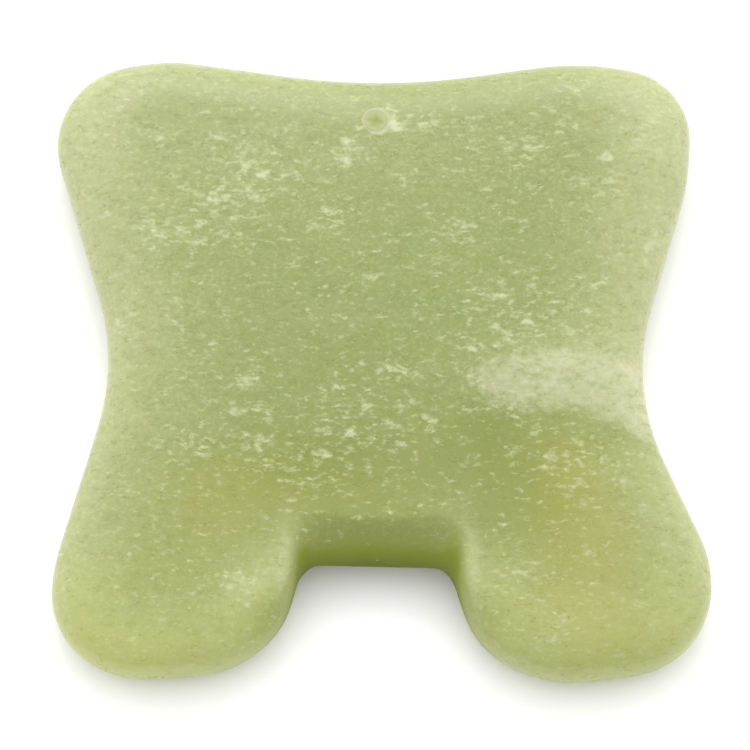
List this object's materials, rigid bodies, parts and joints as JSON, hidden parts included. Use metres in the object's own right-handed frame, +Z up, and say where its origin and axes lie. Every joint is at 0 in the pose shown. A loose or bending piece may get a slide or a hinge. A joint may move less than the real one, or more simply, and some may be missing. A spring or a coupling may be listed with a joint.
{
  "type": "gua sha massage board",
  "caption": "Flat jade gua sha massage board with rounded edges, hollow sides, a finger notch between its legs and a filled cord hole.",
  "frame": {"origin": "on the table under the middle of the board's box, the board lying flat on its underside", "axes": "+Z up through the board's thickness, +Y from the finger notch to the back edge with the cord hole, +X to the right seen from above with the notch nearest"},
  "size_m": [0.0598, 0.06, 0.007],
  "materials": {
    "jade": "satin",
    "plug_resin": "satin"
  },
  "bodies": {
    "root": {"jade_board": "jade", "cord_hole_plug": "plug_resin"}
  },
  "joints": []
}
